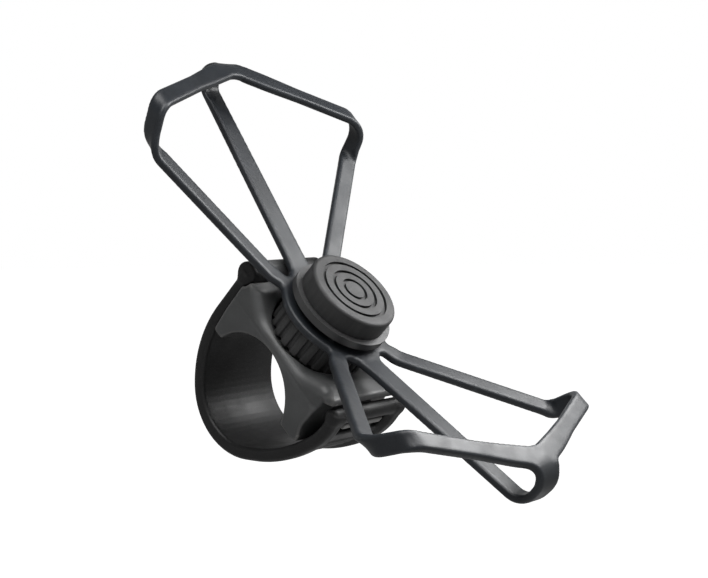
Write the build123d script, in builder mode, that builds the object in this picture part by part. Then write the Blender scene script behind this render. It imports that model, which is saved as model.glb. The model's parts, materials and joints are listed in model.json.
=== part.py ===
"""Handlebar phone mount: a stretch-strap bar clamp, a rotating head and a silicone harness.

The origin is on the handlebar's axis at the middle of the base. +X runs along the bar,
+Y points forwards over the wheel and +Z is up. The phone faces up and back at `pitch`.
Head heights are measured from the bar's axis, square to the phone's back.
"""
import os
from math import cos, radians, sin, sqrt

from build123d import *

os.makedirs("parts", exist_ok=True)

# Driving dimensions, in millimetres and degrees.
bar_radius = 15.9            # 31.8 mm handlebar
pitch = 45                   # tilt of the phone's back from the horizontal
phone_width = 80             # phone in its case, held by the harness
phone_back = 40.4            # height of the phone's back over the bar's axis
phone_front = 51.3
phone_low = -74.6            # lower short edge, measured up the phone from the bar's axis
phone_high = 80.1

# Base saddle.
base_width = 32.4
seat_clearance = 0.25
seat_radius = bar_radius + seat_clearance
base_front = 19.5            # front wall, on the phone's upper side
base_rear = -21.2            # rear wall, on the rider's side
foot_height = 4.4
front_foot_set_back = 1.1
front_foot_rise = 4
rear_foot = -22.4
rear_waist = 10.5            # height of the narrowest place of the rear wall
rear_lip = -24.4             # the lip that reaches over the strap's end bar
rear_lip_low = (-24.8, 22.7)
lip_root_height = 20.2
end_height = 24              # top of the two ends
dish_height = 20             # floor of the dish between the ends
front_end_inside = 15.4
front_slope_middle = (12, 21.3)
front_slope_foot = 7.6
rear_slope_foot = -10.6
rear_slope_middle = (-15.6, 21.7)
rear_end_inside = -20.4
edge_round = 0.9
pocket_radius = 14.35        # round pocket that the dial turns in
pocket_floor = 18.4
boss_radius = 5
boss_top = 23

# Rubber pad in the seat.
pad_thickness = 1
pad_width = 28
pad_start = 38
pad_end = 158
pad_depth_margin = 1         # the pocket's cutter reaches this far inside the seat

# Stretch strap.
strap_width = 30
rail_width = 4.2
rail_thickness = 3.8
panel_thickness = 2.4
strap_inner = bar_radius + 0.12
strap_front = base_front + 0.35
hinge_gap = 0.35
bend_point = (-24.6, 0)      # outer face of the strap, where its tail bends away
bend_angle = 118             # direction of the strap there, up from the phone's upper side
tail_start = (-24.2, 8.5)    # inner face of the strap, where it begins to lean over the hook
tail_end = -24
end_bar = (-26, 19.4)        # round bar at the tail's end, which hangs on the hook
end_bar_radius = 2.2
window_low = 11.8
window_width = 20.4
window_depth = 12

# Anchor of the strap, at the front.
anchor = (22.1, 24.2)
anchor_radius = 3.3
pin_radius = 1.5
pin_length = 25
lug_width = 16
lug_neck = (5, 3.4)
knuckle_gap = 0.3
knuckle_room = 2             # clearance over the lug

# Hook at the rear, through the strap's window.
hook_width = 17
hook_top = 16.7
hook_tip = -27.6
hook_tip_depth = 1.8
hook_root_depth = 4.6
hook_overlap = 1

# Rotating head.
running_gap = 0.05
turntable_radius = 12.6
turntable_low = 19.25
turntable_floor = 22
turntable_top = 29.05
cup_radius = 9.3
dial_radius = 14
dial_root = 13.25
dial_gap = 0.1
dial_top = 28.5
rib_count = 22
rib_width = 2.4
screw_circle = 11
insert_radius = 3
insert_length = 4.6
pivot_radius = 2
pivot_head_radius = 3.8
pivot_head_height = 2.3
pivot_head_round = 0.8
socket_radius = 1.25
socket_depth = 1.6
thread_end_gap = 0.4
washer_radius = 8.2
washer_thickness = 0.8
washer_gap = 0.2
disc_spring_thickness = 0.5
friction_outer = 9
ball_radius = 1
detent_count = 4
ball_count = 2
ball_seat_depth = 0.35
spring_wire = 0.16
spring_coils = 6
spring_length = 3.4
spring_end_room = 1.2
spring_side_gap = 0.05

# Harness and what clamps it.
band_thickness = 2.3
band_width = 5.5
stem_width = 7
arm_start = (9, 12)          # where the arms leave the hub: across, and up or down the phone
stem_start = 8
hub_thickness = 3
hub_radius = 16.5
hub_hole = 8
hub_clearance = 6            # the hub's cutters reach this far past it
web_low = 29.1
plate_radius = 15.2
plate_thickness = 2.2
clamp_spigot_gap = 0.15
clamp_spigot_hole = 6
clamp_screw_count = 4
clamp_screw_turn = 45
clamp_screw_radius = 1.1
clamp_head_radius = 2
clamp_screw_length = 9
screw_gap = 0.1
rest_radius = 13.4
rest_top = 40.2
rest_round = 1
rest_spigot_radius = 5.8
groove_count = 3
groove_width = 1
groove_depth = 0.8
groove_first_radius = 3.5
groove_spacing = 3.2
cutter_length = 20           # long enough to cut through any piece of the head
split_distance = 30          # the yokes begin this far up or down the phone
upper_wrap_back = 53.2
upper_wrap_front = 57
upper_fork = 74.3
lower_wrap_back = -50.5
lower_wrap_front = -55.8
lower_fork = -70.6
skin = 0.1                   # room between the phone's case and the bands

up_phone = Vector(0, cos(radians(pitch)), sin(radians(pitch)))
off_phone = Vector(0, -sin(radians(pitch)), cos(radians(pitch)))
across = Vector(1, 0, 0)
head_axis = Axis((0, 0, 0), tuple(off_phone))


def point(x, along, height):
    """A point of the head: across the bar, up the phone, and out of the phone's back."""
    return across * x + up_phone * along + off_phone * height


def head_plane(height, along=0):
    return Plane(origin=point(0, along, height), x_dir=across, z_dir=off_phone)


def side_plane(x=0):
    """Local X is up the phone and local Y is out of its back."""
    return Plane(origin=point(x, 0, 0), x_dir=up_phone, z_dir=across)


def polar(radius, angle):
    return (radius * cos(radians(angle)), radius * sin(radians(angle)))


def finish(piece, label):
    piece.part.label = label
    export_step(piece.part, f"parts/{label}.step")


# ---------------------------------------------------------------- base saddle
seat_front = sqrt(seat_radius**2 - foot_height**2)

with BuildPart() as base_saddle:
    with BuildSketch(side_plane()):
        with BuildLine():
            Polyline(
                (seat_front, foot_height),
                (base_front - front_foot_set_back, foot_height),
                (base_front, foot_height + front_foot_rise),
                (base_front, end_height),
                (front_end_inside, end_height),
            )
            front_slope = ThreePointArc(
                (front_end_inside, end_height), front_slope_middle, (front_slope_foot, dish_height)
            )
            Line(front_slope @ 1, (rear_slope_foot, dish_height))
            ThreePointArc(
                (rear_slope_foot, dish_height), rear_slope_middle, (rear_end_inside, end_height)
            )
            Polyline(
                (rear_end_inside, end_height),
                (rear_lip, end_height),
                rear_lip_low,
                (base_rear, lip_root_height),
                (base_rear, rear_waist),
                (rear_foot, foot_height),
                (-seat_front, foot_height),
            )
            ThreePointArc((-seat_front, foot_height), (0, seat_radius), (seat_front, foot_height))
        make_face()
    extrude(amount=base_width / 2, both=True)
    side_edges = (
        edges().filter_by_position(Axis.X, base_width / 2 - 0.01, base_width / 2 + 0.01)
        + edges().filter_by_position(Axis.X, -base_width / 2 - 0.01, -base_width / 2 + 0.01)
    )
    # The edges of the feet and of the seat stay sharp.
    rim_edges = [e for e in side_edges if abs((e @ 0.5).dot(off_phone)) > foot_height + edge_round]
    rim_edges = [
        e for e in rim_edges if e.geom_type != GeomType.CIRCLE or abs(e.radius - seat_radius) > edge_round
    ]
    fillet(rim_edges, radius=edge_round)
    # Round pocket for the dial, and the pivot boss inside it.
    with BuildSketch(head_plane(pocket_floor)):
        Circle(pocket_radius)
    extrude(amount=end_height, mode=Mode.SUBTRACT)
    with BuildSketch(head_plane(pocket_floor - 1)):
        Circle(boss_radius)
    extrude(amount=boss_top - pocket_floor + 1)
    with BuildSketch(head_plane(boss_top)):
        Circle(insert_radius)
    extrude(amount=-insert_length, mode=Mode.SUBTRACT)
    # Four seats for the detent balls, a quarter turn apart.
    seat_centre = pocket_floor + ball_radius - ball_seat_depth
    with Locations(head_plane(seat_centre)):
        with PolarLocations(screw_circle, detent_count):
            Sphere(ball_radius + screw_gap, mode=Mode.SUBTRACT)
    # Shallow pocket for the rubber pad.
    with BuildSketch(side_plane()):
        with BuildLine():
            CenterArc((0, 0), bar_radius + pad_thickness, pad_start, pad_end - pad_start)
            CenterArc((0, 0), bar_radius - pad_depth_margin, pad_start, pad_end - pad_start)
            for end in (pad_start, pad_end):
                Line(
                    polar(bar_radius - pad_depth_margin, end),
                    polar(bar_radius + pad_thickness, end),
                )
        make_face()
    extrude(amount=pad_width / 2, both=True, mode=Mode.SUBTRACT)
    # Front lug that the anchor pin passes through, with room at each side for the strap.
    with BuildSketch(side_plane()):
        with Locations(anchor):
            Circle(anchor_radius + knuckle_gap)
    extrude(amount=base_width, both=True, mode=Mode.SUBTRACT)
    with BuildSketch(side_plane()):
        with Locations(anchor):
            Circle(anchor_radius)
        with Locations((base_front - lug_neck[1] / 2, anchor[1] - lug_neck[1] / 2)):
            Rectangle(*lug_neck)
    extrude(amount=lug_width / 2, both=True)
    with BuildSketch(side_plane()):
        with Locations(anchor):
            Circle(pin_radius)
    extrude(amount=base_width, both=True, mode=Mode.SUBTRACT)
    # Hook that holds the strap's end bar.
    with BuildSketch(side_plane()):
        with BuildLine():
            Polyline(
                (base_rear + hook_overlap, hook_top),
                (hook_tip, hook_top),
                (hook_tip, hook_top - hook_tip_depth),
                (base_rear + hook_overlap, hook_top - hook_root_depth),
                close=True,
            )
        make_face()
    extrude(amount=hook_width / 2, both=True)
finish(base_saddle, "base_saddle")

# ---------------------------------------------------------------- bar pad
with BuildPart() as bar_pad:
    with BuildSketch(side_plane()):
        with BuildLine():
            CenterArc((0, 0), bar_radius + pad_thickness, pad_start, pad_end - pad_start)
            CenterArc((0, 0), bar_radius, pad_start, pad_end - pad_start)
            for end in (pad_start, pad_end):
                Line(polar(bar_radius, end), polar(bar_radius + pad_thickness, end))
        make_face()
    extrude(amount=pad_width / 2, both=True)
finish(bar_pad, "bar_pad")


# ---------------------------------------------------------------- strap
def strap_side(depth):
    """One face of the strap, `depth` outside its inner face, from the front to the tail."""
    front = strap_front + depth
    wrap = strap_inner + depth
    shift = wrap * sin(radians(45))
    corner_height = front - wrap * sqrt(2)
    reach = (front - shift) * sqrt(2)
    upper = Line((front, anchor[1]), (front, corner_height + reach))
    sweep_in = TangentArc(upper @ 1, (shift, -shift), tangent=(0, -1))
    under = ThreePointArc(sweep_in @ 1, (0, -wrap), (-shift, -shift))
    away = TangentArc(under @ 1, (tail_start[0] - depth, tail_start[1]), tangent=under % 1)
    tail = TangentArc(away @ 1, (tail_end - depth, end_bar[1]), tangent=away % 1)
    return [upper, sweep_in, under, away, tail]


def strap_outline(thickness, x):
    with BuildSketch(side_plane(x)) as outline:
        with BuildLine():
            inner = strap_side(0)
            outer = strap_side(thickness)
            Line(inner[0] @ 0, outer[0] @ 0)
            Line(inner[-1] @ 1, outer[-1] @ 1)
        make_face()
    return outline.sketch


bend_plane = Plane(
    origin=point(0, *bend_point),
    x_dir=across,
    z_dir=up_phone * cos(radians(bend_angle)) + off_phone * sin(radians(bend_angle)),
)
rail_middle = (strap_width - rail_width) / 2

with BuildPart() as whole_strap:
    extrude(strap_outline(panel_thickness, 0), amount=strap_width / 2, both=True)
    for side in (-1, 1):
        extrude(strap_outline(rail_thickness, side * rail_middle), amount=rail_width / 2, both=True)
    # Round knuckles at the front and the round end bar at the rear.
    with BuildSketch(side_plane()):
        with Locations(anchor):
            Circle(anchor_radius)
        with Locations(end_bar):
            Circle(end_bar_radius)
    extrude(amount=strap_width / 2, both=True)
    # Room for the lug at the front, and the window that the hook comes through at the rear.
    with BuildSketch(side_plane()):
        with Locations((anchor[0], anchor[1] + knuckle_room / 2)):
            Rectangle(4 * anchor_radius, 2 * (anchor_radius + knuckle_room))
    extrude(amount=lug_width / 2 + knuckle_gap, both=True, mode=Mode.SUBTRACT)
    window_high = end_bar[1] - end_bar_radius
    with BuildSketch(side_plane()):
        with Locations((end_bar[0], (window_low + window_high) / 2)):
            Rectangle(window_depth, window_high - window_low)
    extrude(amount=window_width / 2, both=True, mode=Mode.SUBTRACT)
    with BuildSketch(side_plane()):
        with Locations(anchor):
            Circle(pin_radius)
    extrude(amount=pin_length / 2, both=True, mode=Mode.SUBTRACT)


def beyond_bend(gap):
    """A block that holds all of the strap beyond its bend."""
    with BuildPart() as block:
        with BuildSketch(bend_plane.offset(gap)):
            Rectangle(2 * strap_width, strap_width)
        extrude(amount=2 * strap_width)
    return block.part


with BuildPart() as strap_root:
    add(whole_strap.part)
    add(beyond_bend(0), mode=Mode.SUBTRACT)
finish(strap_root, "strap_root")

with BuildPart() as strap_tail:
    add(whole_strap.part)
    add(beyond_bend(hinge_gap), mode=Mode.INTERSECT)
finish(strap_tail, "strap_tail")

with BuildPart() as strap_anchor_pin:
    with BuildSketch(side_plane()):
        with Locations(anchor):
            Circle(pin_radius)
    extrude(amount=pin_length / 2, both=True)
finish(strap_anchor_pin, "strap_anchor_pin")

# ---------------------------------------------------------------- pivot
with BuildPart() as pivot_insert:
    with BuildSketch(head_plane(boss_top)):
        Circle(insert_radius)
        Circle(pivot_radius + running_gap, mode=Mode.SUBTRACT)
    extrude(amount=-insert_length)
finish(pivot_insert, "pivot_insert")

screw_seat = boss_top + washer_thickness
with BuildPart() as pivot_washer:
    with BuildSketch(head_plane(boss_top)):
        Circle(washer_radius)
        Circle(pivot_radius + washer_gap, mode=Mode.SUBTRACT)
    extrude(amount=washer_thickness)
finish(pivot_washer, "pivot_washer")

with BuildPart() as pivot_screw:
    with BuildSketch(head_plane(screw_seat)):
        Circle(pivot_head_radius)
    extrude(amount=pivot_head_height)
    fillet(pivot_screw.edges().sort_by(head_axis)[-1], pivot_head_round)
    with BuildSketch(head_plane(screw_seat)):
        Circle(pivot_radius)
    extrude(amount=-(washer_thickness + insert_length - thread_end_gap))
    with BuildSketch(head_plane(screw_seat + pivot_head_height)):
        RegularPolygon(socket_radius, side_count=6)
    extrude(amount=-socket_depth, mode=Mode.SUBTRACT)
finish(pivot_screw, "pivot_screw")

disc_inner = boss_radius + washer_gap + running_gap
disc_outer = washer_radius - screw_gap
disc_high = boss_top - running_gap
disc_low = turntable_floor + running_gap
with BuildPart() as disc_spring:
    with BuildSketch(Plane(origin=(0, 0, 0), x_dir=across, z_dir=-up_phone)):
        with BuildLine():
            Polyline(
                (disc_inner, disc_high - disc_spring_thickness),
                (disc_inner, disc_high),
                (disc_outer, disc_low + disc_spring_thickness),
                (disc_outer, disc_low),
                close=True,
            )
        make_face()
    revolve(axis=head_axis)
finish(disc_spring, "disc_spring")

with BuildPart() as friction_ring:
    with BuildSketch(head_plane(pocket_floor)):
        Circle(friction_outer)
        Circle(boss_radius + washer_gap, mode=Mode.SUBTRACT)
    extrude(amount=turntable_low - pocket_floor - running_gap)
finish(friction_ring, "friction_ring")

# ---------------------------------------------------------------- rotating head
with BuildPart() as turntable:
    with BuildSketch(head_plane(turntable_low)):
        Circle(turntable_radius)
    extrude(amount=turntable_top - turntable_low)
    with BuildSketch(head_plane(turntable_floor)):
        Circle(cup_radius)
    extrude(amount=end_height, mode=Mode.SUBTRACT)
    with BuildSketch(head_plane(turntable_low)):
        Circle(boss_radius + running_gap)
    extrude(amount=end_height, mode=Mode.SUBTRACT)
    # Detent pockets from below, and pilot holes for the clamp screws from above.
    with BuildSketch(head_plane(turntable_low)):
        with PolarLocations(screw_circle, ball_count):
            Circle(ball_radius + running_gap)
    extrude(amount=ball_radius + spring_length + spring_end_room, mode=Mode.SUBTRACT)
    with BuildSketch(head_plane(turntable_top)):
        with PolarLocations(screw_circle, clamp_screw_count, start_angle=clamp_screw_turn):
            Circle(clamp_screw_radius)
    extrude(amount=-clamp_screw_length, mode=Mode.SUBTRACT)
finish(turntable, "turntable")

with BuildPart() as dial_ring:
    with BuildSketch(head_plane(turntable_low + dial_gap)):
        Circle(dial_root)
        with PolarLocations((turntable_radius + dial_radius) / 2, rib_count):
            Rectangle(dial_radius - turntable_radius, rib_width)
        Circle(turntable_radius, mode=Mode.SUBTRACT)
    extrude(amount=dial_top - turntable_low - dial_gap)
finish(dial_ring, "dial_ring")

ball_centre = pocket_floor + ball_radius + running_gap
with BuildPart() as detent_balls:
    with Locations(head_plane(ball_centre)):
        with PolarLocations(screw_circle, ball_count):
            Sphere(ball_radius)
finish(detent_balls, "detent_balls")

spring_radius = ball_radius - spring_wire - spring_side_gap
spring_foot = ball_centre + ball_radius + spring_wire + screw_gap
with BuildPart() as detent_springs:
    for turn in (0, 180):
        centre = head_plane(spring_foot).from_local_coords((*polar(screw_circle, turn), 0))
        with BuildLine():
            coil = Helix(
                pitch=spring_length / spring_coils,
                height=spring_length,
                radius=spring_radius,
                center=centre,
                direction=off_phone,
            )
        with BuildSketch(Plane(origin=coil @ 0, z_dir=coil % 0)):
            Circle(spring_wire)
        sweep(path=coil)
finish(detent_springs, "detent_springs")

# ---------------------------------------------------------------- harness
web_middle = web_low + hub_thickness / 2
back_middle = phone_back - skin - band_thickness / 2
front_middle = phone_front + skin + band_thickness / 2
side_middle = phone_width / 2 + skin + band_thickness / 2


def add_band(start, end, width, face):
    """A straight stretch of rubber, whose broad faces look along `face`."""
    run = end - start
    overlap = band_thickness / 2
    plane = Plane(origin=start - run.normalized() * overlap, x_dir=face, z_dir=run)
    with BuildSketch(plane) as section:
        Rectangle(band_thickness, width)
    extrude(section.sketch, amount=run.length + 2 * overlap)


def arm_ends(side, wrap_back):
    """A back arm's two ends, by the hub and at the long edge of the phone."""
    turned = 1 if wrap_back > 0 else -1
    start = point(side * arm_start[0], turned * arm_start[1], web_middle)
    return start, point(side * side_middle, wrap_back, back_middle)


def stem_ends(end_middle):
    turned = 1 if end_middle > 0 else -1
    return point(0, turned * stem_start, web_middle), point(0, end_middle, back_middle)


upper_edge = phone_high + skin + band_thickness / 2
lower_edge = phone_low - skin - band_thickness / 2

with BuildPart() as harness_hub:
    for wrap_back in (upper_wrap_back, lower_wrap_back):
        for side in (-1, 1):
            add_band(*arm_ends(side, wrap_back), band_width, off_phone)
    for end_middle in (upper_edge, lower_edge):
        add_band(*stem_ends(end_middle), stem_width, off_phone)
    for turned in (1, -1):
        split(bisect_by=Plane(origin=point(0, turned * split_distance, 0), z_dir=up_phone * turned),
              keep=Keep.BOTTOM)
    with BuildSketch(head_plane(web_low)):
        Circle(hub_radius)
    extrude(amount=hub_thickness)
    with BuildSketch(head_plane(web_low - hub_clearance)):
        Circle(hub_hole)
    extrude(amount=cutter_length, mode=Mode.SUBTRACT)
    with BuildSketch(head_plane(web_low)):
        with PolarLocations(screw_circle, clamp_screw_count, start_angle=clamp_screw_turn):
            Circle(clamp_screw_radius + screw_gap)
    extrude(amount=cutter_length, mode=Mode.SUBTRACT)
    with BuildSketch(head_plane(web_low + hub_thickness)):
        Circle(plate_radius + washer_gap)
    extrude(amount=cutter_length, mode=Mode.SUBTRACT)
    with BuildSketch(head_plane(web_low)):
        Circle(hub_radius)
    extrude(amount=-cutter_length, mode=Mode.SUBTRACT)
finish(harness_hub, "harness_hub")


def build_yoke(wrap_back, wrap_front, fork, edge, label):
    """One end of the harness: back arms and stem, side wraps, and the Y over the phone's front."""
    turned = 1 if edge > 0 else -1
    with BuildPart() as yoke:
        for side in (-1, 1):
            add_band(*arm_ends(side, wrap_back), band_width, off_phone)
        add_band(*stem_ends(edge), stem_width, off_phone)
        split(
            bisect_by=Plane(
                origin=point(0, turned * (split_distance + hinge_gap), 0),
                z_dir=up_phone * turned,
            ),
            keep=Keep.TOP,
        )
        for side in (-1, 1):
            corner = point(side * side_middle, wrap_front, front_middle)
            add_band(point(side * side_middle, wrap_back, back_middle), corner, band_width, across)
            add_band(corner, point(0, fork, front_middle), band_width, off_phone)
        add_band(point(0, fork, front_middle), point(0, edge, front_middle), stem_width, off_phone)
        add_band(point(0, edge, front_middle), point(0, edge, back_middle), stem_width, up_phone)
    finish(yoke, label)


build_yoke(upper_wrap_back, upper_wrap_front, upper_fork, upper_edge, "upper_yoke")
build_yoke(lower_wrap_back, lower_wrap_front, lower_fork, lower_edge, "lower_yoke")

# ---------------------------------------------------------------- clamp plate, screws and rest
plate_low = web_low + hub_thickness + running_gap
with BuildPart() as clamp_plate:
    with BuildSketch(head_plane(plate_low)):
        Circle(plate_radius)
    extrude(amount=plate_thickness)
    with BuildSketch(head_plane(plate_low)):
        Circle(hub_hole - clamp_spigot_gap)
    extrude(amount=-hub_thickness)
    with BuildSketch(head_plane(plate_low - hub_thickness)):
        Circle(clamp_spigot_hole)
    extrude(amount=cutter_length, mode=Mode.SUBTRACT)
    with Locations(head_plane(plate_low + plate_thickness)):
        with PolarLocations(screw_circle, clamp_screw_count, start_angle=clamp_screw_turn):
            CounterSinkHole(
                clamp_screw_radius + screw_gap,
                clamp_head_radius + screw_gap,
                depth=2 * plate_thickness,
            )
finish(clamp_plate, "clamp_plate")

clamp_head_depth = 0.6       # the shank begins inside the head's cone
with BuildPart() as clamp_screws:
    with BuildSketch(head_plane(plate_low + plate_thickness)):
        with PolarLocations(screw_circle, clamp_screw_count, start_angle=clamp_screw_turn):
            Circle(clamp_head_radius)
    extrude(amount=-(clamp_head_radius - clamp_screw_radius), taper=45)
    with BuildSketch(head_plane(plate_low + plate_thickness - clamp_head_depth)):
        with PolarLocations(screw_circle, clamp_screw_count, start_angle=clamp_screw_turn):
            Circle(clamp_screw_radius - running_gap)
    extrude(amount=-clamp_screw_length)
finish(clamp_screws, "clamp_screws")

rest_low = plate_low + plate_thickness + running_gap
with BuildPart() as rest_pad:
    with BuildSketch(head_plane(rest_low)):
        Circle(rest_radius)
    extrude(amount=rest_top - rest_low)
    fillet(rest_pad.edges().sort_by(head_axis)[-1], rest_round)
    for ring in range(groove_count):
        ring_radius = groove_first_radius + groove_spacing * ring
        with BuildSketch(head_plane(rest_top)):
            Circle(ring_radius + groove_width / 2)
            Circle(ring_radius - groove_width / 2, mode=Mode.SUBTRACT)
        extrude(amount=-groove_depth, mode=Mode.SUBTRACT)
    with BuildSketch(head_plane(rest_low)):
        Circle(rest_spigot_radius)
    extrude(amount=-plate_thickness)
finish(rest_pad, "rest_pad")
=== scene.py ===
"""Looks of a handlebar phone mount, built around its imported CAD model.

Sizes are in millimetres in the head's own axes, as in the CAD model: x runs along the bar,
v up the phone's back and n out of it, from the bar's axis. Soft and moulded pieces are made
as distance fields, because their forks and fillets flow into each other.
"""
import json
from collections import namedtuple
from math import cos, pi, radians, sin, sqrt

import bpy
import numpy as np
from mathutils import Matrix, Vector


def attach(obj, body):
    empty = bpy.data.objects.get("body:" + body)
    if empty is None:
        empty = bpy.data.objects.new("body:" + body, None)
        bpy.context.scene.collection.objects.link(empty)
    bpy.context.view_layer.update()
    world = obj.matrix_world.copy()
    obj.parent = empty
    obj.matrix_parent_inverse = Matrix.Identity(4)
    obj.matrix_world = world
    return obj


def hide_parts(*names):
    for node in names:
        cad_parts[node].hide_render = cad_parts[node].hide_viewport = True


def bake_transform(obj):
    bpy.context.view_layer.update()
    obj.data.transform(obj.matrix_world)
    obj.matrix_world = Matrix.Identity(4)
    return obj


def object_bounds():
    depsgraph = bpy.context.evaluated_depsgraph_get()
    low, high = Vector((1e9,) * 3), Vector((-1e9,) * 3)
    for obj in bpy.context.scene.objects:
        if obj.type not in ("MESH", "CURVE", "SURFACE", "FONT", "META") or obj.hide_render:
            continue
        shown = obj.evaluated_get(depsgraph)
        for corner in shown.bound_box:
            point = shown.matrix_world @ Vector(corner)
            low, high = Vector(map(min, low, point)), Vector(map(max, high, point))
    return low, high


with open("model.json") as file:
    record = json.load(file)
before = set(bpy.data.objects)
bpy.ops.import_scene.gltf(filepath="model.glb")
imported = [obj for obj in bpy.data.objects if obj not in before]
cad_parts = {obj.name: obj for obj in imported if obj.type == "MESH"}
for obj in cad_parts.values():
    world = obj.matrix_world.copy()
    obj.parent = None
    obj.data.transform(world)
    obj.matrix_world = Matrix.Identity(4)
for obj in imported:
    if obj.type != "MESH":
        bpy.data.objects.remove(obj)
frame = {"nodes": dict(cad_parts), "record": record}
cad_low, cad_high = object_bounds()

MM = 0.001
PITCH = radians(45)
HEAD_AXES = np.array([
    (1, 0, 0),
    (0, cos(PITCH), sin(PITCH)),
    (0, -sin(PITCH), cos(PITCH)),
])


def to_frame(points):
    """Head coordinates in millimetres, turned into the shared frame in metres."""
    return np.asarray(points, float) @ HEAD_AXES * MM


def span(node):
    """Lowest and highest (x, v, n) of a CAD node, in millimetres."""
    mesh = frame["nodes"][node].data
    spots = np.empty(len(mesh.vertices) * 3)
    mesh.vertices.foreach_get("co", spots)
    spots = spots.reshape(-1, 3) @ HEAD_AXES.T / MM
    return spots.min(0), spots.max(0)


# ---------------------------------------------------------------- distance fields to meshes
def lattice(low, high, step):
    """Grid points that fill a box: (x, v, n) arrays and the lowest corner."""
    low = np.asarray(low, float) - 2 * step
    counts = np.ceil((np.asarray(high, float) + 2 * step - low) / step).astype(int) + 1
    axes = [low[k] + step * np.arange(counts[k]) for k in range(3)]
    return np.meshgrid(*axes, indexing="ij"), low


def read_field(values, low, step, points):
    """Trilinear values of a gridded field at points."""
    place = (points - low) / step
    cell = np.clip(np.floor(place).astype(int), 0, np.array(values.shape) - 2)
    part = place - cell
    total = np.zeros(len(points))
    for corner in np.ndindex(2, 2, 2):
        share = np.ones(len(points))
        for k in range(3):
            share *= part[:, k] if corner[k] else 1 - part[:, k]
        total += share * values[tuple((cell + corner).T)]
    return total


def slope_of(values, low, step, points):
    """Gradient of a gridded field at points."""
    parts = []
    for k in range(3):
        shift = np.zeros(3)
        shift[k] = step / 2
        ahead = read_field(values, low, step, points + shift)
        parts.append((ahead - read_field(values, low, step, points - shift)) / step)
    return np.stack(parts, 1)


def net(values, low, step):
    """Surface net of a field: one vertex in each cell that its zero level crosses."""
    inside = values < 0
    cells = tuple(s - 1 for s in values.shape)
    total = np.zeros((*cells, 3))
    count = np.zeros(cells)
    crossings = []
    for axis in range(3):
        shift = np.eye(3, dtype=int)[axis]
        start = tuple(slice(0, s - shift[k]) for k, s in enumerate(values.shape))
        end = tuple(slice(shift[k], s) for k, s in enumerate(values.shape))
        edges = np.argwhere(inside[start] != inside[end])
        first = values[start][tuple(edges.T)]
        last = values[end][tuple(edges.T)]
        spots = edges + (first / (first - last))[:, None] * shift
        sides = [k for k in range(3) if k != axis]
        for back in np.ndindex(2, 2):
            cell = edges.copy()
            cell[:, sides[0]] -= back[0]
            cell[:, sides[1]] -= back[1]
            fits = np.all((cell >= 0) & (cell < cells), axis=1)
            np.add.at(total, tuple(cell[fits].T), spots[fits])
            np.add.at(count, tuple(cell[fits].T), 1)
        crossings.append((axis, sides, edges, first < 0))
    used = np.argwhere(count > 0)
    number = np.full(cells, -1)
    number[tuple(used.T)] = np.arange(len(used))
    points = low + step * total[tuple(used.T)] / count[tuple(used.T)][:, None]
    faces = []
    for axis, sides, edges, outward in crossings:
        ring = []
        for back in ((0, 0), (1, 0), (1, 1), (0, 1)):
            cell = edges.copy()
            cell[:, sides[0]] -= back[0]
            cell[:, sides[1]] -= back[1]
            ring.append(number[tuple(cell.T)])
        quads = np.stack(ring, 1)
        flip = outward if axis == 1 else ~outward
        quads[flip] = quads[flip][:, ::-1]
        faces.append(quads)
    return points, np.concatenate(faces)


def piece_from(name, points, faces, material):
    """A smooth mesh object from points in head coordinates."""
    mesh = bpy.data.meshes.new(name)
    mesh.from_pydata(to_frame(points).tolist(), [], np.asarray(faces).tolist())
    mesh.shade_smooth()
    mesh.materials.append(material)
    piece = bpy.data.objects.new(name, mesh)
    bpy.context.scene.collection.objects.link(piece)
    return piece


def relaxed(points, faces):
    """Each point moved halfway to the middle of its neighbours."""
    starts = faces.ravel()
    ends = np.roll(faces, -1, axis=1).ravel()
    counts = np.bincount(starts, minlength=len(points)) + np.bincount(ends, minlength=len(points))
    sums = [
        np.bincount(starts, points[ends, k], len(points))
        + np.bincount(ends, points[starts, k], len(points))
        for k in range(3)
    ]
    return (points + np.stack(sums, 1) / counts[:, None]) / 2


SETTLE_PASSES = 3      # steps that bring the relaxed vertices back to the zero level
SETTLE_SHARE = 0.8     # of the way there in each step
FLATTEST_SLOPE = 0.05  # least squared slope that a step divides by


def mesh_field(name, values, low, step, material):
    """Meshes a gridded field and settles its vertices on the zero level."""
    points, faces = net(values, low, step)
    points = relaxed(relaxed(points, faces), faces)
    for _ in range(SETTLE_PASSES):
        slope = slope_of(values, low, step, points)
        length = np.maximum((slope**2).sum(1), FLATTEST_SLOPE)
        gap = read_field(values, low, step, points)
        points -= np.clip(gap / length, -step, step)[:, None] * slope * SETTLE_SHARE
    return piece_from(name, points, faces, material)


def rounded_slab(aside, across, radius):
    """Distance to a slab from the distances to its edges and to its faces."""
    a, b = aside + radius, across + radius
    return np.hypot(np.maximum(a, 0), np.maximum(b, 0)) + np.minimum(np.maximum(a, b), 0) - radius


def smooth_min(first, second, size):
    """Union of two fields, with a fillet about as large as size."""
    blend = np.clip(0.5 + 0.5 * (second - first) / size, 0, 1)
    return second + (first - second) * blend - size * blend * (1 - blend)


def smooth_max(first, second, size):
    """Overlap of two fields, with a round as large as size."""
    return -smooth_min(-first, -second, size)


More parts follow.
